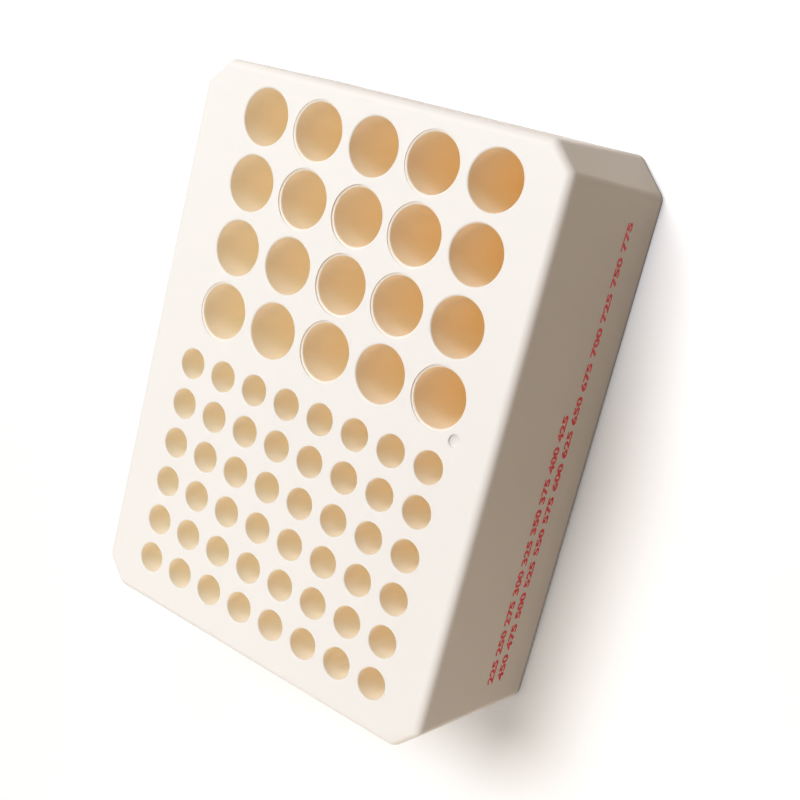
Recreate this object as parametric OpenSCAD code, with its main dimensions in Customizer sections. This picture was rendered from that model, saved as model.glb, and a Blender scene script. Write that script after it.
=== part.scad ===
// Benchtop cooler rack for microcentrifuge tubes: a drafted plastic block whose deck carries
// a grid of large wells and a grid of small wells, closed by a base plate and filled with gel.
// The block stands on the XY plane, its short side along X, and the large wells are at +Y.

/* [Block] */
// Width of the deck across the short side, to the sharp corner under its rounded edge
deck_w = 89; // [84:0.5:100]
// Length of the deck along the long side, to the sharp corner under its rounded edge
deck_l = 118.7; // [116:0.1:126]
// Width of the underside, to the sharp corner under its rounded edge
base_w = 92.8; // [86:0.2:104]
// Length of the underside, to the sharp corner under its rounded edge
base_l = 120.9; // [118:0.1:134]
// Height of the block
block_h = 36; // [34:0.5:60]
// Length that each cut corner takes off a side of the deck
deck_cut = 5.2; // [3:0.1:7]
// Length that each cut corner takes off a side of the underside
base_cut = 6.9; // [3:0.1:8]
// Radius of the rounded edge around the deck
deck_edge_r = 1.8; // [0.5:0.1:2]
// Radius of the rounded edge around the underside
foot_edge_r = 0.9; // [0.3:0.1:1.1]
// Radius of the upright edges beside each cut corner
upright_r = 2.4; // [2.3:0.1:3.5]

/* [Walls] */
// Thickness of the side walls
wall_t = 2.4; // [2:0.1:3]
// Thickness of the deck
deck_t = 2.2; // [1.5:0.1:3]
// Thickness of the wall around each well
well_wall_t = 0.9; // [0.6:0.05:0.95]
// Width of the softened lip at the mouth of each large well
large_lip = 0.35; // [0.1:0.05:0.45]
// Width of the softened lip at the mouth of each small well
small_lip = 0.25; // [0.1:0.05:0.4]

/* [Large wells] */
// Number of large wells across the block
large_across = 5; // [1:1:5]
// Number of rows of large wells
large_rows = 4; // [1:1:4]
// Distance between large wells across the block
large_pitch_x = 14; // [13.5:0.1:14.5]
// Distance between rows of large wells
large_pitch_y = 13.6; // [13.5:0.1:14]
// Middle of the large grid, to the right of the block's middle
large_mid_x = 1.8; // [0:0.1:2.5]
// Distance from the block's middle to the nearest row of large wells
large_first_y = 8.8; // [8:0.1:9.5]
// Diameter of a large well
large_d = 11.5; // [10.8:0.1:11.6]
// Depth of the straight part of a large well
large_straight = 20; // [10:0.5:22]
// Depth of a large well in all
large_depth = 31; // [26:0.5:31]
// Radius of the small flat floor of a large well
large_floor_r = 2.2; // [1:0.1:3]

/* [Small wells] */
// Number of small wells across the block
small_across = 8; // [1:1:8]
// Number of rows of small wells
small_rows = 6; // [1:1:6]
// Distance between small wells both ways
small_pitch = 9; // [8.8:0.1:9.2]
// Distance from the block's middle to the nearest row of small wells
small_first_y = 4.4; // [4:0.1:5]
// Diameter of a small well
small_d = 6.5; // [5.8:0.1:6.8]
// Depth of the straight part of a small well
small_straight = 8; // [4:0.5:10]
// Depth of a small well in all
small_depth = 17; // [14:0.5:24]
// Radius of the small flat floor of a small well
small_floor_r = 1.3; // [0.8:0.1:1.8]

/* [Mouth recesses] */
// Diameter of the shallow recess around some of the large wells
recess_d = 12.5; // [12.3:0.1:13]
// Wells with a recess, as column from the left, row from the small wells, and depth
recess_list = [
    [2, 4, 0.2], [4, 4, 0.2],
    [2, 3, 0.3], [3, 3, 0.35], [4, 3, 0.25],
    [3, 2, 0.35], [4, 2, 0.25],
    [1, 1, 0.2], [3, 1, 0.3], [5, 1, 0.3]
];
// Diameter of the moulding gate's round mark on the deck
gate_d = 2.4; // [1:0.1:3]
// Depth of the gate mark
gate_depth = 0.3; // [0.1:0.05:0.6]
// Distance of the gate mark to the right of the block's middle
gate_x = 35.4; // [30:0.1:38]
// Distance of the gate mark from the block's middle towards the large wells
gate_y = 2.3; // [1:0.1:4]

/* [Base plate and gel] */
// Thickness of the base plate
plate_t = 2.4; // [1.5:0.1:3]
// Width of the rim of the side walls that stays outside the base plate
rim_w = 1.5; // [1.2:0.1:1.8]
// Gap around the base plate before it is welded
plate_gap = 0.1; // [0.05:0.05:0.3]
// Room left above the gel for it to swell as it freezes
swell_gap = 2.5; // [1:0.5:4]
// Diameter of the filling port in the base plate
port_d = 7; // [5:0.5:9]
// Diameter of the plug's head
plug_head_d = 11; // [9:0.5:14]
// Thickness of the plug's head
plug_head_t = 1; // [0.6:0.1:1.4]
// Depth of the plug's head below the face of the base plate
plug_sunk = 0.2; // [0.1:0.05:0.4]
// Length of the plug that stands up inside the gel
plug_inside = 1.6; // [1:0.1:3]
// Distance of the filling port from the middle, towards the small wells
port_y = 45; // [30:1:50]

/* [Hidden] */
// Facets of a circle: of round openings, of rounded edges, and of small or hidden rounds
fine = 48;
soft = 64;
coarse = 24;
// Thickness of the discs that a hull is stretched between
hair = 0.01;
// Length that a cutting solid stands past the surface that it cuts
over = 1;
// Width, length and cut that the block loses for each unit of height
draft_w = (base_w - deck_w) / block_h;
draft_l = (base_l - deck_l) / block_h;
draft_cut = (base_cut - deck_cut) / block_h;
cavity_top = block_h - deck_t;
seat_r = upright_r - rim_w;
// Radius of the upright edges inside the side walls
core_r = 1;
// Place along a lip where its two slopes meet, as a share of its width
lip_step = 0.3;
// Change of a 45 degree cut corner's length for each unit that the outline is drawn in
cut_share = 2 - sqrt(2);

// Width, length and corner cut of the block at a height, drawn in by a distance on every side
function size_at(z, inset = 0) = [
    base_w - draft_w * z - 2 * inset,
    base_l - draft_l * z - 2 * inset,
    base_cut - draft_cut * z - inset * cut_share
];

// Centres of the eight circles of radius r that round the corners of an outline of a given size
function corner_centres(size, r) =
    let (x = size[0] / 2 - r, y = size[1] / 2 - r, c = size[2] - r * cut_share)
    [
        for (sx = [-1, 1], sy = [-1, 1])
            each [[sx * x, sy * (y - c)], [sx * (x - c), sy * y]]
    ];

// Centre of a well, by its column from the left and its row from the middle of the block
function large_at(column, row) = [
    large_mid_x + (column - (large_across + 1) / 2) * large_pitch_x,
    large_first_y + (row - 1) * large_pitch_y
];
function small_at(column, row) = [
    (column - (small_across + 1) / 2) * small_pitch,
    -small_first_y - (row - 1) * small_pitch
];

module at_large_wells() {
    for (column = [1:large_across], row = [1:large_rows])
        translate(concat(large_at(column, row), block_h)) children();
}

module at_small_wells() {
    for (column = [1:small_across], row = [1:small_rows])
        translate(concat(small_at(column, row), block_h)) children();
}

// A tube-shaped solid hanging from the origin: straight, then a cone down to a small flat end
module tube_form(r, straight, depth, floor_r) {
    rotate_extrude($fn = fine)
        polygon([[0, 0], [r, 0], [r, -straight], [floor_r, -depth], [0, -depth]]);
}

// The mouth of a well of radius r at the origin, its lip softened in two slopes, open upwards
module mouth(r, lip) {
    step = lip * lip_step;
    rotate_extrude($fn = fine)
        polygon([[0, over], [r + lip, over], [r + lip, 0], [r + step, -step], [r, -lip], [0, -lip]]);
}

module well_hollows() {
    at_large_wells() {
        tube_form(large_d / 2, large_straight, large_depth, large_floor_r);
        mouth(large_d / 2, large_lip);
    }
    at_small_wells() {
        tube_form(small_d / 2, small_straight, small_depth, small_floor_r);
        mouth(small_d / 2, small_lip);
    }
}

// The thin walls of all the wells, hanging from the deck
module well_walls() {
    t = well_wall_t;
    at_large_wells() tube_form(large_d / 2 + t, large_straight, large_depth + t, large_floor_r + t);
    at_small_wells() tube_form(small_d / 2 + t, small_straight, small_depth + t, small_floor_r + t);
}

// The shallow recesses around some of the large wells, with each well's lip on the recess's floor
module mouth_recesses() {
    for (recess = recess_list)
        translate(concat(large_at(recess[0], recess[1]), block_h - recess[2])) {
            cylinder(d = recess_d, h = recess[2] + over, $fn = fine);
            mouth(large_d / 2, large_lip);
        }
}

module gate_mark() {
    translate([gate_x, gate_y, block_h - gate_depth])
        cylinder(d = gate_d, h = gate_depth + over, $fn = coarse);
}

// A disc whose upper edge is rounded with radius r, for one end of an upright edge
module edge_button(r, facets) {
    flat_r = upright_r - r;
    rotate_extrude($fn = soft) {
        square([flat_r, r]);
        translate([flat_r, 0]) intersection() {
            circle(r = r, $fn = facets);
            square(r);
        }
    }
}

// The outside of the block: drafted sides, cut corners, and rounded edges round the deck and the foot
module block() {
    edge_z = block_h - deck_edge_r;
    hull() {
        for (p = corner_centres(size_at(edge_z), upright_r))
            translate(concat(p, edge_z)) edge_button(deck_edge_r, soft);
        for (p = corner_centres(size_at(foot_edge_r), upright_r))
            translate(concat(p, foot_edge_r)) mirror([0, 0, 1]) edge_button(foot_edge_r, coarse);
    }
}

// An upright slab with the block's outline at the underside, drawn in by a distance
module underside_slab(inset, r, h) {
    linear_extrude(h) hull()
        for (p = corner_centres(size_at(0, inset), r)) translate(p) circle(r = r, $fn = coarse);
}

// The space inside the side walls from the base plate up to a height, without the wells in it
module inner_space(top_z) {
    hull() for (z = [plate_t, top_z - hair])
        for (p = corner_centres(size_at(z, wall_t), core_r))
            translate(concat(p, z)) cylinder(r = core_r, h = hair, $fn = coarse);
}

// One moulding: the deck, the side walls with a seat for the base plate, and the closed wells
module well_housing() {
    color("#f3ede4") difference() {
        block();
        difference() {
            inner_space(cavity_top);
            well_walls();
        }
        translate([0, 0, -over]) underside_slab(rim_w, seat_r, plate_t + over);
        well_hollows();
        mouth_recesses();
        gate_mark();
    }
}

// The plate that closes the underside, with a stepped filling port
module base_plate() {
    color("#ece5da") difference() {
        underside_slab(rim_w + plate_gap, seat_r, plate_t);
        translate([0, -port_y, -over]) {
            cylinder(d = port_d, h = plate_t + 2 * over, $fn = fine);
            cylinder(d = plug_head_d, h = over + plug_sunk + plug_head_t, $fn = fine);
        }
    }
}

// The plug of the filling port: a thin head and a shank with a tapered end
module fill_plug() {
    head_top = plug_sunk + plug_head_t;
    shank_r = port_d / 2 - plate_gap / 2;
    color("#ded6ca") translate([0, -port_y, 0]) rotate_extrude($fn = fine) polygon([
        [0, plug_sunk], [plug_head_d / 2 - plate_gap, plug_sunk], [plug_head_d / 2 - plate_gap, head_top],
        [shank_r, head_top], [shank_r, plate_t], [shank_r - plug_inside / 2, plate_t + plug_inside],
        [0, plate_t + plug_inside]
    ]);
}

// The gel that stores the cold, around the wells, with room above it to swell
module coolant_gel() {
    color("#9fc6d8") difference() {
        inner_space(cavity_top - swell_gap);
        well_walls();
        fill_plug();
    }
}

well_housing();
base_plate();
coolant_gel();
fill_plug();
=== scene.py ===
import math
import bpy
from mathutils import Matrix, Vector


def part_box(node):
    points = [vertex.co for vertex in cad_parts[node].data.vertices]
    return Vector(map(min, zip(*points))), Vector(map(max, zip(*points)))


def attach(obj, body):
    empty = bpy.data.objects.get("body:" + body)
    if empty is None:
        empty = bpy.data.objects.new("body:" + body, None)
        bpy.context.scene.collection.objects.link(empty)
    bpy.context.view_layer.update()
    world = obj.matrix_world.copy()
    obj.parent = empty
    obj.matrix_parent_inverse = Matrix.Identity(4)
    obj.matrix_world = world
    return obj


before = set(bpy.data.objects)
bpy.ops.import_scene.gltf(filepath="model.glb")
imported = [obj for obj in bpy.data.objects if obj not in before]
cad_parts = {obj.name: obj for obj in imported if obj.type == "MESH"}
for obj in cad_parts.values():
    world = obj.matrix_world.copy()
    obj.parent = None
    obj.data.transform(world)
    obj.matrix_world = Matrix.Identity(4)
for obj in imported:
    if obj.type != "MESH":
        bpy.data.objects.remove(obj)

from types import SimpleNamespace

import bpy
from bpy.props import FloatProperty, FloatVectorProperty, PointerProperty
from bpy.types import Operator, Panel, PropertyGroup
from mathutils import Matrix, Quaternion, Vector

bl_info = {
    "name": "Benchtop Cooler Rack",
    "version": (1, 0, 0),
    "blender": (4, 5, 0),
    "location": "View3D > Sidebar > Cooler Rack",
    "description": "Finishes a moulded cooler rack for small tubes and sets up its studio stage",
    "category": "Object",
}

MM = 0.001
ROOT = "root"
WHITE = (1, 1, 1, 1)
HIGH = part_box("well_housing")[1]
DECK_Z = HIGH.z

# Sizes that the source of the block gives, in metres
SIDE_DRAFT = 1.9 / 36  # how far each long side leans in for each unit of height
CORNER_CUT = 7.2 * MM  # what a cut corner takes off the length of each side at the foot
FOOT_EDGE_R = 0.9 * MM
LARGE_WELLS = {"first": (-26.2 * MM, 8.8 * MM), "pitch": (14 * MM, 13.6 * MM), "radius": 6.4 * MM}
SMALL_WELLS = {"first": (-31.5 * MM, -49.4 * MM), "pitch": (9 * MM, 9 * MM), "radius": 3.55 * MM}
BETWEEN_GRIDS_Y = 2 * MM
NO_WELL_X = 7 * MM  # width of the strips at the long sides that hold no well
NO_WELL_Y = 4 * MM  # the same at the short sides
GATE_MARK = (35.4 * MM, 2.3 * MM, DECK_Z)  # the middle of the moulding gate's mark
GATE_LIT_SIDE = (36.4 * MM, 1.6 * MM, DECK_Z)  # the edge of the gate's mark that faces the light and has no painted shade

# Where the housing's colours and the light and shade painted into them change, each as the start and the end
# of a smooth step
FLAT_FACE = (0.45, 0.9)  # upward part of the normal, from a steep face to a flat one
LIT_WALL_FACING = (0.05, 0.9)  # part of the normal that points along +Y, towards the light, from a well's painted shaded tan to its painted lit tan
RECESS_DEPTH = (0.08 * MM, 0.15 * MM)
LIP_DEPTH = (0.3 * MM, 0.6 * MM)
WALL_DEPTH = (0.5 * MM, 1.2 * MM)
# heights over which the painted contact shadow on the foot's rounded edge fades out
FOOT_SHADOW_HEIGHT = (0.8 * MM, 2.0 * MM)
GATE_RIM = (1.2 * MM, 1.6 * MM)  # distance from the middle of the gate's mark
GATE_SHADE_SPREAD = (0.6 * MM, 2.4 * MM)  # distance from the mark's lit side, over which the shade painted in the mark grows
GATE_FLOOR = (0.5, 0.9)  # upward part of the normal, from the mark's wall to its floor
LIP_LIGHT_SHARE = 0.5  # how much of the wells' painted tan and glow shows on their lips
RECESS_SHADE_SHARE = 0.2  # how much of it shows in the shallow recesses round some wells, as painted shade there

# Finish of the plastic and the ink
PLASTIC_IOR = 1.49
GRAIN_SIZE = 0.35 * MM
GRAIN_NOISE = {"Detail": 3.0, "Roughness": 0.6}
GRAIN_SPREAD = 0.12  # how much the grain changes the roughness
NOISE_MIDDLE = 0.5
CLOUD_NOISE = {"Scale": 38.0, "Detail": 4.0, "Roughness": 0.55}
CLOUDINESS = 0.03
INK_NOISE = {"Scale": 900.0, "Detail": 2.0}
INK_THINNING = (0.45, 0.75)  # noise at which the ink goes from full to thin
INK_ROUGHNESS = 0.4

# The two printed rows
UPPER_NUMBERS = range(225, 450, 25)
LOWER_NUMBERS = range(450, 800, 25)
DIGIT_CURVE_STEPS = 4

# The stage
SENSOR_WIDTH = 36.0  # in millimetres, as a camera states it
NEAREST_SEEN = 0.01
FLOOR_REACH = 3.0
FLOOR_UNDER = 1 * MM  # how far the floor runs in under the block
FLOOR_DROP = 0.02 * MM  # how far it lies below the block
FLOOR_FADE = (0.13, 0.28)  # distance at which the shown floor goes from shaded to pure white
FAR_END = (-11 * MM, HIGH.y)  # place along the block over which the floor's lift grows, a painted light that lightens the block's shadow towards its far end


# ---------------------------------------------------------------- settings

class PlasticSettings(PropertyGroup):
    """Colours and finish of the moulded plastic and the gel, with the light and shade painted into the
    plastic.
    """
    cream: FloatVectorProperty(
        name="Plastic", description="Colour of the moulded plastic", subtype="COLOR",
        default=(0.897, 0.895, 0.886), min=0, max=1)
    # Painted shade: the plastic is drawn darker towards the printed side, where less light falls on it.
    cream_right: FloatVectorProperty(
        name="Plastic at the right", description="Colour of the plastic towards the printed side",
        subtype="COLOR", default=(0.860, 0.856, 0.850), min=0, max=1)
    # The four well colours are painted light: a tan for the light that bounces in the wells and comes through
    # their walls, in a shaded copy for walls that face across the block and a lit copy for walls that face
    # +Y, towards the light.
    large_across: FloatVectorProperty(
        name="Large well, across", description="Colour of a large well's wall that faces across the block",
        subtype="COLOR", default=(0.93, 0.76, 0.58), min=0, max=1)
    large_along: FloatVectorProperty(
        name="Large well, along", description="Colour of a large well's wall that faces +Y",
        subtype="COLOR", default=(0.92, 0.83, 0.705), min=0, max=1)
    small_across: FloatVectorProperty(
        name="Small well, across", description="Colour of a small well's wall that faces across the block",
        subtype="COLOR", default=(0.945, 0.775, 0.580), min=0, max=1)
    small_along: FloatVectorProperty(
        name="Small well, along", description="Colour of a small well's wall that faces +Y",
        subtype="COLOR", default=(0.89, 0.835, 0.755), min=0, max=1)
    glow_left: FloatVectorProperty(
        name="Glow left", description="Light that comes through the wall by a well's mouth at the left",
        subtype="COLOR", default=(0.092, 0.100, 0.075), min=0, max=1)
    glow_left_deep: FloatVectorProperty(
        name="Deep glow left", description="Light that comes through the wall deep in a well at the left",
        subtype="COLOR", default=(0.104, 0.110, 0.068), min=0, max=1)
    glow_right: FloatVectorProperty(
        name="Glow right", description="Light that comes through the wall by a well's mouth at the right",
        subtype="COLOR", default=(0.049, 0.038, 0.019), min=0, max=1)
    glow_right_deep: FloatVectorProperty(
        name="Deep glow right", description="Light that comes through the wall deep in a well at the right",
        subtype="COLOR", default=(0.083, 0.046, 0.005), min=0, max=1)
    glow_slant: FloatProperty(
        name="Glow slant", description="How much the glow changes along the block for its change across",
        default=0.3, min=-2, max=2)
    glow_reach: FloatProperty(
        name="Glow reach", description="Distance from the middle at which the glow has its end colours",
        default=54 * MM, min=5 * MM, max=100 * MM, unit="LENGTH")
    glow_depth: FloatProperty(
        name="Glow depth", description="Depth at which the glow in a well reaches its deep colour",
        default=16 * MM, min=2 * MM, max=30 * MM, unit="LENGTH")
    small_spread: FloatProperty(
        name="Small wells' spread",
        description="How much the small wells' glow changes across the block, as a share of the large wells'",
        default=0.65, min=0, max=1)
    # Painted contact shadow on the foot's rounded edge, where the block meets the floor.
    foot_shade: FloatProperty(
        name="Foot shade", description="How much of its colour the rounded edge at the foot keeps",
        default=0.55, min=0, max=1)
    # Painted shade in the gate's mark, on its side away from the light.
    gate_dullness: FloatProperty(
        name="Gate dullness", description="How much of its colour the dull side of the gate's mark keeps",
        default=0.74, min=0, max=1)
    plate_share: FloatProperty(
        name="Base plate", description="How much of the housing's colour the base plate has",
        default=0.97, min=0, max=1)
    plug_share: FloatProperty(
        name="Plug", description="How much of the housing's colour the filling port's plug has",
        default=0.92, min=0, max=1)
    gel: FloatVectorProperty(
        name="Gel", description="Colour of the cooling gel", subtype="COLOR", default=(0.42, 0.66, 0.78),
        min=0, max=1)
    roughness: FloatProperty(
        name="Roughness", description="Roughness of the moulded faces", default=0.48, min=0, max=1)
    grain: FloatProperty(
        name="Grain size", description="Size of the fine grain that the mould leaves", default=GRAIN_SIZE,
        min=0.05 * MM, max=2 * MM, unit="LENGTH")
    grain_height: FloatProperty(
        name="Grain height", description="Height of the fine grain", default=0.006 * MM,
        min=0, max=0.1 * MM, precision=6, unit="LENGTH")


class PrintSettings(PropertyGroup):
    """The two printed rows of numbers on the long side."""
    ink: FloatVectorProperty(
        name="Ink", description="Colour of the printed numbers", subtype="COLOR",
        default=(0.65, 0.002, 0.003), min=0, max=1)
    thin_ink: FloatVectorProperty(
        name="Thin ink", description="Colour of the ink where it is thin", subtype="COLOR",
        default=(0.68, 0.02, 0.02), min=0, max=1)
    ink_glow: FloatProperty(
        name="Ink glow", description="Light that the side's plastic sends out through the ink",
        default=0.08, min=0, max=1)
    digit_height: FloatProperty(
        name="Digit height", description="Height of a printed digit", default=2.1 * MM,
        min=1 * MM, max=5 * MM, unit="LENGTH")
    boldness: FloatProperty(
        name="Boldness", description="How much the strokes are thickened, as a share of the type size",
        default=0.044, min=0, max=0.06)
    ink_height: FloatProperty(
        name="Ink height", description="How far the ink stands off the side", default=0.03 * MM,
        min=0.005 * MM, max=0.2 * MM, precision=6, unit="LENGTH")
    start_y: FloatProperty(
        name="Start", description="Where both rows begin along the block", default=-48.2 * MM,
        unit="LENGTH")
    short_end_y: FloatProperty(
        name="Upper row end", description="Where the upper row ends", default=9.6 * MM, unit="LENGTH")
    long_end_y: FloatProperty(
        name="Lower row end", description="Where the lower row ends", default=47.9 * MM, unit="LENGTH")
    upper_z: FloatProperty(
        name="Upper row height", description="Height of the middle of the upper row", default=14.35 * MM,
        unit="LENGTH")
    lower_z: FloatProperty(
        name="Lower row height", description="Height of the middle of the lower row", default=10.9 * MM,
        unit="LENGTH")


class StageSettings(PropertyGroup):
    """Camera, lamps and floor."""
    camera_at: FloatVectorProperty(
        name="Camera", description="Place of the camera", subtype="TRANSLATION", unit="LENGTH",
        default=(144.03 * MM, 56.59 * MM, 225.77 * MM))
    camera_target: FloatVectorProperty(
        name="Camera target", description="Point on the deck that the camera looks at",
        subtype="TRANSLATION", unit="LENGTH", default=(21.77 * MM, 5.66 * MM, 36 * MM))
    camera_roll: FloatProperty(
        name="Camera roll", description="Turn of the camera about its own axis", subtype="ANGLE",
        default=math.radians(-94.56))
    lens: FloatProperty(
        name="Lens", description="Focal length of the camera in millimetres", default=55.17, min=10, max=200)
    key_at: FloatVectorProperty(
        name="Key lamp", description="Place of the key lamp", subtype="TRANSLATION", unit="LENGTH",
        default=(-0.38, 0.40, 1.2))
    key_size: FloatProperty(
        name="Key size", description="Width of the key lamp", default=0.8, min=0.05, max=3, unit="LENGTH")
    key_power: FloatProperty(
        name="Key power", description="Power of the key lamp in watts", default=13.8, min=0, max=100)
    side_at: FloatVectorProperty(
        name="Side lamp", description="Place of the side lamp", subtype="TRANSLATION", unit="LENGTH",
        default=(0.12, -0.30, 0.12))
    side_size: FloatProperty(
        name="Side size", description="Width of the side lamp", default=0.2, min=0.05, max=3, unit="LENGTH")
    side_power: FloatProperty(
        name="Side power", description="Power of the side lamp in watts", default=0.425, min=0, max=100)
    back_at: FloatVectorProperty(
        name="Back lamp", description="Place of the back lamp", subtype="TRANSLATION", unit="LENGTH",
        default=(0.02, 0.55, 0.45))
    back_size: FloatProperty(
        name="Back size", description="Width of the back lamp", default=0.25, min=0.05, max=3, unit="LENGTH")
    back_power: FloatProperty(
        name="Back power", description="Power of the back lamp in watts", default=0.8, min=0, max=100)
    low_color: FloatVectorProperty(
        name="Low lamp colour", description="Colour of the side lamp and the back lamp", subtype="COLOR",
        default=(1.0, 0.88, 0.76), min=0, max=1)
    fill: FloatVectorProperty(
        name="Fill colour", description="Colour of the light from all round", subtype="COLOR",
        default=(1.0, 0.78, 0.57), min=0, max=1)
    fill_strength: FloatProperty(
        name="Fill strength", description="Strength of the light from all round", default=0.155, min=0, max=3)
    floor_color: FloatVectorProperty(
        name="Floor colour", description="Colour of the floor as it lights the block", subtype="COLOR",
        default=(0.278, 0.192, 0.100), min=0, max=1)
    floor_lift: FloatVectorProperty(
        name="Floor lift", description="What the camera sees of the floor without any light on it",
        subtype="COLOR", default=(0.042, 0.068, 0.094), min=0, max=1)
    # Painted light on the floor towards the block's far end, which lightens the block's shadow there.
    far_lift: FloatVectorProperty(
        name="Far lift", description="The same by the block's far end", subtype="COLOR",
        default=(0.35, 0.38, 0.435), min=0, max=1)


# ---------------------------------------------------------------- shader helpers

def add_node(tree, kind, **values):
    """A shader node, with its attributes and its inputs set by name; an input is a value or a socket."""
    made = tree.nodes.new(kind)
    inputs = values.pop("inputs", {})
    for name, value in values.items():
        setattr(made, name, value)
    for name, value in inputs.items():
        if isinstance(value, bpy.types.NodeSocket):
            tree.links.new(value, made.inputs[name])
        else:
            made.inputs[name].default_value = value
    return made


def math_node(tree, operation, a, b=None, c=None, clamp=False):
    """The output of one Math node; a, b and c are numbers or sockets."""
    made = tree.nodes.new("ShaderNodeMath")
    made.operation = operation
    made.use_clamp = clamp
    for socket, value in zip(made.inputs, (a, b, c)):
        if isinstance(value, bpy.types.NodeSocket):
            tree.links.new(value, socket)
        elif value is not None:
            socket.default_value = value
    return made.outputs[0]


def ramp_between(tree, value, low, high):
    """0 below low, 1 above high and smooth between."""
    made = add_node(tree, "ShaderNodeMapRange", interpolation_type="SMOOTHSTEP",
                    inputs={"Value": value, "From Min": low, "From Max": high})
    return made.outputs["Result"]


def distance_from(tree, point, other):
    """The distance between a vector socket and a fixed point."""
    made = add_node(tree, "ShaderNodeVectorMath", operation="DISTANCE", inputs={0: point, 1: other})
    return made.outputs["Value"]


def split_vector(tree, vector):
    """The X, Y and Z of a vector socket."""
    return add_node(tree, "ShaderNodeSeparateXYZ", inputs={"Vector": vector}).outputs


def mix_colors(tree, factor, a, b):
    """A mix of two colours; each is a socket or a colour."""
    made = tree.nodes.new("ShaderNodeMix")
    made.data_type = "RGBA"
    for name, value in (("Factor_Float", factor), ("A_Color", a), ("B_Color", b)):
        socket = next(s for s in made.inputs if s.identifier == name)
        if isinstance(value, bpy.types.NodeSocket):
            tree.links.new(value, socket)
        else:
            socket.default_value = (*value, 1)
    return next(s for s in made.outputs if s.identifier == "Result_Color")


def mix_shaders(tree, factor, a, b):
    """A mix of two shader nodes: a where the factor's socket is 0, and b where it is 1."""
    made = tree.nodes.new("ShaderNodeMixShader")
    for socket, value in zip(made.inputs, (factor, a.outputs[0], b.outputs[0])):
        tree.links.new(value, socket)
    return made


def new_group(name, inputs, outputs):
    """An empty shader node group with named sockets, and its two end nodes."""
    tree = bpy.data.node_groups.new(name, "ShaderNodeTree")
    for socket, kind, default in inputs:
        made = tree.interface.new_socket(socket, in_out="INPUT", socket_type=kind)
        made.default_value = default
    for socket, kind in outputs:
        tree.interface.new_socket(socket, in_out="OUTPUT", socket_type=kind)
    return tree, tree.nodes.new("NodeGroupInput"), tree.nodes.new("NodeGroupOutput")


def mould_grain_group():
    """Fine grain of a moulded face: a height for bump, a roughness, and a faint cloudiness of the colour."""
    name = "Mould grain"
    if name in bpy.data.node_groups:
        return bpy.data.node_groups[name]
    tree, start, end = new_group(
        name,
        [("Color", "NodeSocketColor", WHITE), ("Grain Size", "NodeSocketFloat", GRAIN_SIZE),
         ("Roughness", "NodeSocketFloat", 0.5), ("Cloudiness", "NodeSocketFloat", CLOUDINESS)],
        [("Color", "NodeSocketColor"), ("Roughness", "NodeSocketFloat"), ("Height", "NodeSocketFloat")])
    place = tree.nodes.new("ShaderNodeTexCoord").outputs["Object"]
    scale = math_node(tree, "DIVIDE", 1.0, start.outputs["Grain Size"])
    grain = add_node(tree, "ShaderNodeTexNoise", inputs={"Vector": place, "Scale": scale, **GRAIN_NOISE})
    clouds = add_node(tree, "ShaderNodeTexNoise", inputs={"Vector": place, **CLOUD_NOISE})
    shade = math_node(tree, "SUBTRACT", clouds.outputs["Fac"], NOISE_MIDDLE)
    shade = math_node(tree, "MULTIPLY_ADD", shade, start.outputs["Cloudiness"], 1.0)
    darker = add_node(tree, "ShaderNodeVectorMath", operation="SCALE",
                      inputs={"Vector": start.outputs["Color"], "Scale": shade})
    rough = math_node(tree, "SUBTRACT", grain.outputs["Fac"], NOISE_MIDDLE)
    rough = math_node(tree, "MULTIPLY_ADD", rough, GRAIN_SPREAD, start.outputs["Roughness"], clamp=True)
    tree.links.new(darker.outputs["Vector"], end.inputs["Color"])
    tree.links.new(rough, end.inputs["Roughness"])
    tree.links.new(grain.outputs["Fac"], end.inputs["Height"])
    return tree


def plastic_material(name, color, settings):
    """Moulded plastic with fine grain; color is a colour, or a function that makes a socket in the tree."""
    material = bpy.data.materials.new(name)
    material.use_nodes = True
    tree = material.node_tree
    shader = tree.nodes["Principled BSDF"]
    value = color(tree) if callable(color) else (*color, 1)
    grain = add_node(tree, "ShaderNodeGroup", node_tree=mould_grain_group(),
                     inputs={"Color": value, "Grain Size": settings.grain, "Roughness": settings.roughness})
    bump = add_node(tree, "ShaderNodeBump",
                    inputs={"Height": grain.outputs["Height"], "Distance": settings.grain_height,
                            "Strength": 1.0})
    tree.links.new(grain.outputs["Color"], shader.inputs["Base Color"])
    tree.links.new(grain.outputs["Roughness"], shader.inputs["Roughness"])
    tree.links.new(bump.outputs["Normal"], shader.inputs["Normal"])
    shader.inputs["IOR"].default_value = PLASTIC_IOR
    return material


def paint(node, material):
    """Gives a CAD node one material."""
    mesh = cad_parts[node].data
    mesh.materials.clear()
    mesh.materials.append(material)


# ---------------------------------------------------------------- housing

def find_place(tree):
    """Sockets that say where a point of the housing is, how deep it lies and which way it faces."""
    coordinates = tree.nodes.new("ShaderNodeTexCoord").outputs
    at = split_vector(tree, coordinates["Object"])
    facing = split_vector(tree, coordinates["Normal"])
    return SimpleNamespace(
        point=coordinates["Object"], x=at["X"], y=at["Y"], z=at["Z"],
        depth=math_node(tree, "SUBTRACT", DECK_Z, at["Z"]),
        small_half=math_node(tree, "LESS_THAN", at["Y"], BETWEEN_GRIDS_Y),
        facing_along=facing["Y"], facing_up=facing["Z"])


def near_grid(tree, place, grid):
    """1 within a radius of the nearest point of an endless grid of wells, and 0 elsewhere."""
    squares = []
    for value, first, pitch in zip((place.x, place.y), grid["first"], grid["pitch"]):
        offset = math_node(tree, "SUBTRACT", value, first)
        offset = math_node(tree, "WRAP", offset, pitch / 2, -pitch / 2)
        squares.append(math_node(tree, "MULTIPLY", offset, offset))
    return math_node(tree, "LESS_THAN", math_node(tree, "ADD", *squares), grid["radius"] ** 2)


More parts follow.
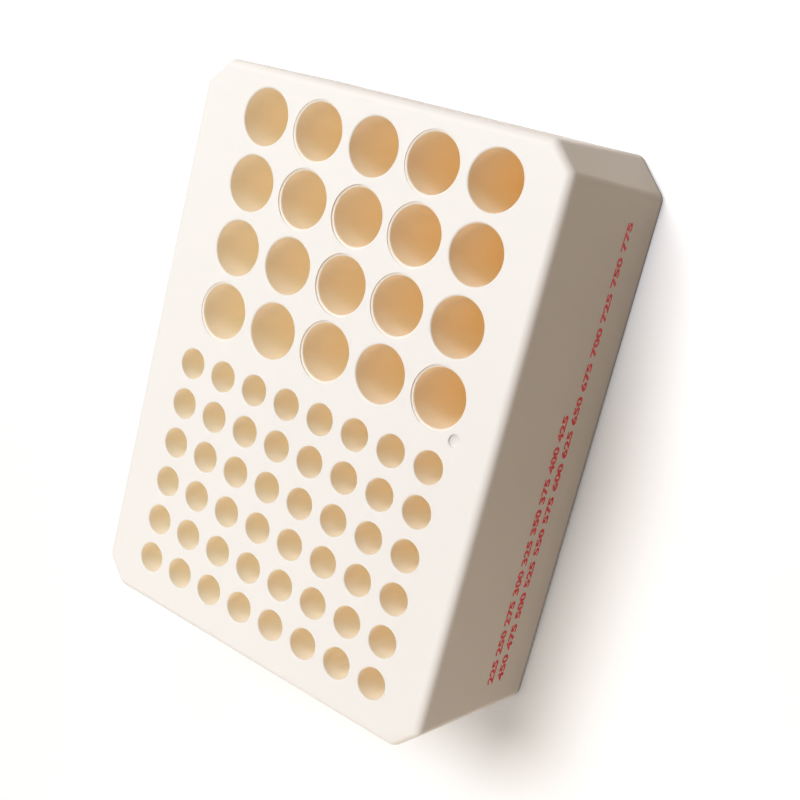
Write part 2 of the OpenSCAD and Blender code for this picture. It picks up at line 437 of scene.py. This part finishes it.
def near_well(tree, place):
    """1 in and just round the wells, and 0 elsewhere: the large ones in one half, the small in the other."""
    large_half = math_node(tree, "SUBTRACT", 1.0, place.small_half)
    large = math_node(tree, "MULTIPLY", near_grid(tree, place, LARGE_WELLS), large_half)
    small = math_node(tree, "MULTIPLY", near_grid(tree, place, SMALL_WELLS), place.small_half)
    near = math_node(tree, "ADD", large, small)
    for value, limit in ((place.x, HIGH.x - NO_WELL_X), (place.y, HIGH.y - NO_WELL_Y)):
        within = math_node(tree, "LESS_THAN", math_node(tree, "ABSOLUTE", value), limit)
        near = math_node(tree, "MULTIPLY", near, within)
    return near


def well_mask(tree, place):
    """Where the wells' painted tan and glow go: 1 on the inside of a well, less on its lip and in its recess,
    and 0 outside.
    """
    steep = math_node(tree, "SUBTRACT", 1.0, ramp_between(tree, place.facing_up, *FLAT_FACE))
    past_lip = ramp_between(tree, place.depth, *LIP_DEPTH)
    lip_share = math_node(tree, "MULTIPLY_ADD", past_lip, 1 - LIP_LIGHT_SHARE, LIP_LIGHT_SHARE)
    lip = math_node(tree, "MULTIPLY", steep, lip_share)
    # painted shade on the floors of the shallow recesses
    recess = math_node(tree, "MULTIPLY", ramp_between(tree, place.depth, *RECESS_DEPTH), RECESS_SHADE_SHARE)
    wall = math_node(tree, "MAXIMUM", lip, ramp_between(tree, place.depth, *WALL_DEPTH))
    wall = math_node(tree, "MAXIMUM", wall, recess)
    return math_node(tree, "MULTIPLY", near_well(tree, place), wall)


def well_tan(tree, place, settings):
    """The tan painted into the wells for the light that bounces in them and comes through their walls, which
    differs between the two sizes, with a painted lit tan on walls that face +Y towards the light and a
    painted shaded tan on walls that face across the block.
    """
    # painted lit tan where the wall faces +Y towards the light, painted shaded tan where it faces across
    lit_share = ramp_between(tree, place.facing_along, *LIT_WALL_FACING)
    large = mix_colors(tree, lit_share, settings.large_across, settings.large_along)
    small = mix_colors(tree, lit_share, settings.small_across, settings.small_along)
    return mix_colors(tree, place.small_half, large, small)


def rightward(tree, x, y, settings):
    """0 at the block's left end of the slanting change in the painted shade and the glow, and 1 at its right
    end.
    """
    aslant = math_node(tree, "MULTIPLY_ADD", y, settings.glow_slant, x)
    return ramp_between(tree, aslant, -settings.glow_reach, settings.glow_reach)


def well_glow(tree, place, settings):
    """The light that comes through a well's wall, from left to right and from its mouth to its floor."""
    spread = math_node(tree, "MULTIPLY_ADD", place.small_half, settings.small_spread - 1, 1.0)
    x = math_node(tree, "MULTIPLY", place.x, spread)
    deep = ramp_between(tree, place.depth, 0.0, settings.glow_depth)
    left = mix_colors(tree, deep, settings.glow_left, settings.glow_left_deep)
    right = mix_colors(tree, deep, settings.glow_right, settings.glow_right_deep)
    return mix_colors(tree, rightward(tree, x, place.y, settings), left, right)


def gate_dullness(tree, place):
    """1 where shade is painted in the gate's mark, on its side away from the light, and 0 elsewhere."""
    past_rim = ramp_between(tree, distance_from(tree, place.point, GATE_MARK), *GATE_RIM)
    shade_painted = ramp_between(tree, distance_from(tree, place.point, GATE_LIT_SIDE), *GATE_SHADE_SPREAD)
    shade_painted = math_node(tree, "MULTIPLY", shade_painted, math_node(tree, "SUBTRACT", 1.0, past_rim))
    return math_node(tree, "MULTIPLY", shade_painted, ramp_between(tree, place.facing_up, *GATE_FLOOR))


def outside_color(tree, place, settings):
    """The cream of the deck and the sides, with painted shade: darker towards the printed side, a painted
    contact shadow on the foot's rounded edge and painted shade in the gate's mark.
    """
    # painted shade, darker towards the printed side
    right = rightward(tree, place.x, place.y, settings)
    color = mix_colors(tree, right, settings.cream, settings.cream_right)
    # painted contact shadow on the foot's rounded edge
    shaded = [settings.foot_shade * c for c in settings.cream]
    color = mix_colors(tree, ramp_between(tree, place.z, *FOOT_SHADOW_HEIGHT), shaded, color)
    # painted shade in the gate's mark
    shade_painted = [settings.gate_dullness * c for c in settings.cream]
    return mix_colors(tree, gate_dullness(tree, place), color, shade_painted)


def housing_color(settings):
    """A function that makes the housing's colour in a tree, with its painted light and shade, and the glow of
    its wells.
    """
    def build(tree):
        place = find_place(tree)
        in_well = well_mask(tree, place)
        shader = tree.nodes["Principled BSDF"]
        glow = mix_colors(tree, in_well, (0, 0, 0), well_glow(tree, place, settings))
        tree.links.new(glow, shader.inputs["Emission Color"])
        shader.inputs["Emission Strength"].default_value = 1.0
        outside = outside_color(tree, place, settings)
        # painted tan inside the wells, and outside them the cream with its painted shade
        return mix_colors(tree, in_well, outside, well_tan(tree, place, settings))
    return build


class COOLER_OT_housing(Operator):
    """Finish the moulded housing with its deck, sides and wells"""
    bl_idname = "cooler.housing"
    bl_label = "Housing"

    def execute(self, context):
        settings = context.scene.cooler_plastic
        paint("well_housing", plastic_material("Housing plastic", housing_color(settings), settings))
        return {"FINISHED"}


# ---------------------------------------------------------------- underside and filling

class COOLER_OT_underside(Operator):
    """Finish the base plate and the plug of its filling port"""
    bl_idname = "cooler.underside"
    bl_label = "Underside"

    def execute(self, context):
        settings = context.scene.cooler_plastic
        plate = [settings.plate_share * c for c in settings.cream]
        plug = [settings.plug_share * c for c in settings.cream]
        paint("base_plate", plastic_material("Base plate plastic", plate, settings))
        paint("fill_plug", plastic_material("Plug plastic", plug, settings))
        return {"FINISHED"}


class COOLER_OT_filling(Operator):
    """Finish the gel that is sealed inside the block"""
    bl_idname = "cooler.filling"
    bl_label = "Gel filling"

    def execute(self, context):
        settings = context.scene.cooler_plastic
        paint("coolant_gel", plastic_material("Cooling gel", settings.gel, settings))
        return {"FINISHED"}


# ---------------------------------------------------------------- printing

def ink_material(settings):
    """Bright red pad-printing ink, a little uneven where it is thin."""
    material = bpy.data.materials.new("Red ink")
    material.use_nodes = True
    tree = material.node_tree
    shader = tree.nodes["Principled BSDF"]
    place = tree.nodes.new("ShaderNodeTexCoord").outputs["Object"]
    noise = add_node(tree, "ShaderNodeTexNoise", inputs={"Vector": place, **INK_NOISE})
    thin = ramp_between(tree, noise.outputs["Fac"], *INK_THINNING)
    color = mix_colors(tree, thin, settings.ink, settings.thin_ink)
    tree.links.new(color, shader.inputs["Base Color"])
    tree.links.new(color, shader.inputs["Emission Color"])
    shader.inputs["Emission Strength"].default_value = settings.ink_glow
    shader.inputs["Roughness"].default_value = INK_ROUGHNESS
    return material


def side_frame(y, z):
    """The matrix that puts a flat shape on the drafted long side, reading towards +Y with its top up."""
    lean = math.atan(SIDE_DRAFT)
    up = Vector((-math.sin(lean), 0, math.cos(lean)))
    out = Vector((math.cos(lean), 0, math.sin(lean)))
    turn = Matrix((Vector((0, 1, 0)), up, out)).transposed().to_4x4()
    return Matrix.Translation((HIGH.x + SIDE_DRAFT * (FOOT_EDGE_R - z), y, z)) @ turn


def flat_text(name, words, boldness):
    """The words as a flat mesh in the XY plane, at any size."""
    curve = bpy.data.curves.new(name, "FONT")
    curve.body = words
    curve.size = 1.0
    curve.offset = boldness
    curve.resolution_u = DIGIT_CURVE_STEPS
    curve.align_x = "LEFT"
    text = bpy.data.objects.new(name, curve)
    bpy.context.scene.collection.objects.link(text)
    bpy.context.view_layer.update()
    mesh = bpy.data.meshes.new_from_object(text.evaluated_get(bpy.context.evaluated_depsgraph_get()))
    bpy.data.objects.remove(text)
    return mesh


def number_row(name, numbers, end, z, settings):
    """One row of printed numbers as a thin mesh, from the rows' start to end, its middle at height z."""
    mesh = flat_text(name, " ".join(str(n) for n in numbers), settings.boldness)
    xs = [v.co.x for v in mesh.vertices]
    ys = [v.co.y for v in mesh.vertices]
    wide = (end - settings.start_y) / (max(xs) - min(xs))
    tall = settings.digit_height / (max(ys) - min(ys))
    middle = (max(ys) + min(ys)) / 2
    place = side_frame(settings.start_y, z)
    for v in mesh.vertices:
        flat = Vector(((v.co.x - min(xs)) * wide, (v.co.y - middle) * tall, settings.ink_height))
        v.co = place @ flat
    mesh.update()
    row = bpy.data.objects.new(name, mesh)
    bpy.context.scene.collection.objects.link(row)
    return row


class COOLER_OT_printing(Operator):
    """Print two plain rows of numbers on the long side"""
    bl_idname = "cooler.printing"
    bl_label = "Printed numbers"

    def execute(self, context):
        settings = context.scene.cooler_print
        ink = ink_material(settings)
        rows = [("upper_number_row", UPPER_NUMBERS, settings.short_end_y, settings.upper_z),
                ("lower_number_row", LOWER_NUMBERS, settings.long_end_y, settings.lower_z)]
        for name, numbers, end, z in rows:
            row = number_row(name, numbers, end, z, settings)
            row.data.materials.append(ink)
            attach(row, ROOT)
        return {"FINISHED"}


# ---------------------------------------------------------------- stage

def seen_directly(tree):
    """1 for what the camera sees itself or in a gloss or through glass, and 0 for light that bounces."""
    path = tree.nodes.new("ShaderNodeLightPath").outputs
    seen = math_node(tree, "ADD", path["Is Camera Ray"], path["Is Glossy Ray"], clamp=True)
    return math_node(tree, "ADD", seen, path["Is Transmission Ray"], clamp=True)


def make_world(settings):
    """White where it is seen, and a soft fill as light."""
    world = bpy.data.worlds.new("Studio")
    world.use_nodes = True
    tree = world.node_tree
    tree.nodes.clear()
    fill = add_node(tree, "ShaderNodeBackground",
                    inputs={"Color": (*settings.fill, 1), "Strength": settings.fill_strength})
    white = add_node(tree, "ShaderNodeBackground", inputs={"Color": WHITE, "Strength": 1.0})
    both = mix_shaders(tree, seen_directly(tree), fill, white)
    end = tree.nodes.new("ShaderNodeOutputWorld")
    tree.links.new(both.outputs[0], end.inputs["Surface"])
    bpy.context.scene.world = world


def floor_mesh():
    """A wide flat ring whose opening has the block's outline, so that the underside can be seen."""
    x, y = HIGH.x - FLOOR_UNDER, HIGH.y - FLOOR_UNDER
    corner = [(x, y - CORNER_CUT), (x - CORNER_CUT, y)]
    opening = corner + [(-x, y) for x, y in reversed(corner)]
    opening += [(-x, -y) for x, y in opening]
    count = len(opening)
    points = [(x * grow, y * grow, -FLOOR_DROP) for grow in (1, FLOOR_REACH / x) for x, y in opening]
    faces = [(i, count + i, count + (i + 1) % count, (i + 1) % count) for i in range(count)]
    mesh = bpy.data.meshes.new("floor")
    mesh.from_pydata(points, [], faces)
    return mesh


def shown_floor(tree, settings):
    """The floor as it is seen: white with the block's shadow, a painted light that lightens that shadow
    towards the block's far end, and pure white further out.
    """
    point = tree.nodes.new("ShaderNodeTexCoord").outputs["Object"]
    far = ramp_between(tree, split_vector(tree, point)["Y"], *FAR_END)
    lift_color = mix_colors(tree, far, settings.floor_lift, settings.far_lift)
    lift = add_node(tree, "ShaderNodeEmission", inputs={"Color": lift_color, "Strength": 1.0})
    lit = add_node(tree, "ShaderNodeBsdfDiffuse", inputs={"Color": WHITE})
    lifted = add_node(tree, "ShaderNodeAddShader", inputs={0: lit.outputs[0], 1: lift.outputs[0]})
    white = add_node(tree, "ShaderNodeEmission", inputs={"Color": WHITE, "Strength": 1.0})
    outward = ramp_between(tree, distance_from(tree, point, (0, 0, 0)), *FLOOR_FADE)
    return mix_shaders(tree, outward, lifted, white)


def make_floor(settings):
    """A floor that shows white with the block's soft shadow on it, and is clear from below."""
    mesh = floor_mesh()
    floor = bpy.data.objects.new("floor", mesh)
    bpy.context.scene.collection.objects.link(floor)
    material = bpy.data.materials.new("White floor")
    material.use_nodes = True
    tree = material.node_tree
    tree.nodes.clear()
    bounce = add_node(tree, "ShaderNodeBsdfDiffuse", inputs={"Color": (*settings.floor_color, 1)})
    above = mix_shaders(tree, seen_directly(tree), bounce, shown_floor(tree, settings))
    clear = tree.nodes.new("ShaderNodeBsdfTransparent")
    from_below = tree.nodes.new("ShaderNodeNewGeometry").outputs["Backfacing"]
    either = mix_shaders(tree, from_below, above, clear)
    end = tree.nodes.new("ShaderNodeOutputMaterial")
    tree.links.new(either.outputs[0], end.inputs["Surface"])
    mesh.materials.append(material)


def make_lamp(name, at, size, power, color=(1, 1, 1)):
    """A soft round lamp that looks at the block."""
    lamp = bpy.data.lights.new(name, "AREA")
    lamp.color = color
    lamp.shape = "DISK"
    lamp.size = size
    lamp.energy = power
    holder = bpy.data.objects.new(name, lamp)
    bpy.context.scene.collection.objects.link(holder)
    holder.location = at
    holder.rotation_mode = "QUATERNION"
    holder.rotation_quaternion = (-Vector(at)).to_track_quat("-Z", "Y")


def make_camera(settings):
    """The camera, above and to the right of the block, rolled so that the block stands askew."""
    camera = bpy.data.cameras.new("Camera")
    camera.lens = settings.lens
    camera.sensor_width = SENSOR_WIDTH
    camera.clip_start = NEAREST_SEEN
    holder = bpy.data.objects.new("Camera", camera)
    bpy.context.scene.collection.objects.link(holder)
    at, target = Vector(settings.camera_at), Vector(settings.camera_target)
    holder.location = at
    holder.rotation_mode = "QUATERNION"
    roll = Quaternion((0, 0, 1), settings.camera_roll)
    holder.rotation_quaternion = (target - at).to_track_quat("-Z", "Y") @ roll
    bpy.context.scene.camera = holder


class COOLER_OT_stage(Operator):
    """Set up the floor, the lamps, the world and the camera"""
    bl_idname = "cooler.stage"
    bl_label = "Stage"

    def execute(self, context):
        settings = context.scene.cooler_stage
        context.scene.view_settings.view_transform = "Standard"
        make_camera(settings)
        make_world(settings)
        make_floor(settings)
        make_lamp("Key lamp", settings.key_at, settings.key_size, settings.key_power)
        make_lamp("Side lamp", settings.side_at, settings.side_size, settings.side_power, settings.low_color)
        make_lamp("Back lamp", settings.back_at, settings.back_size, settings.back_power, settings.low_color)
        return {"FINISHED"}


# ---------------------------------------------------------------- panel and registration

class COOLER_PT_rack(Panel):
    """Sizes, colours and steps of the cooler rack"""
    bl_idname = "COOLER_PT_rack"
    bl_label = "Cooler Rack"
    bl_space_type = "VIEW_3D"
    bl_region_type = "UI"
    bl_category = "Cooler Rack"

    def draw(self, context):
        for step in STEPS:
            self.layout.operator(step.bl_idname)
        for group in (context.scene.cooler_plastic, context.scene.cooler_print, context.scene.cooler_stage):
            box = self.layout.box()
            for name in group.__annotations__:
                box.prop(group, name)


STEPS = (COOLER_OT_housing, COOLER_OT_underside, COOLER_OT_filling, COOLER_OT_printing, COOLER_OT_stage)
GROUPS = {"cooler_plastic": PlasticSettings, "cooler_print": PrintSettings, "cooler_stage": StageSettings}


def register():
    for kind in (*GROUPS.values(), *STEPS, COOLER_PT_rack):
        bpy.utils.register_class(kind)
    for name, kind in GROUPS.items():
        setattr(bpy.types.Scene, name, PointerProperty(type=kind))


def unregister():
    for name in GROUPS:
        delattr(bpy.types.Scene, name)
    for kind in (COOLER_PT_rack, *reversed(STEPS), *reversed(GROUPS.values())):
        bpy.utils.unregister_class(kind)


def main():
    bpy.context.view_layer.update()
    register()
    bpy.ops.cooler.housing()
    bpy.ops.cooler.underside()
    bpy.ops.cooler.filling()
    bpy.ops.cooler.printing()
    bpy.ops.cooler.stage()


if __name__ == "__main__":
    main()
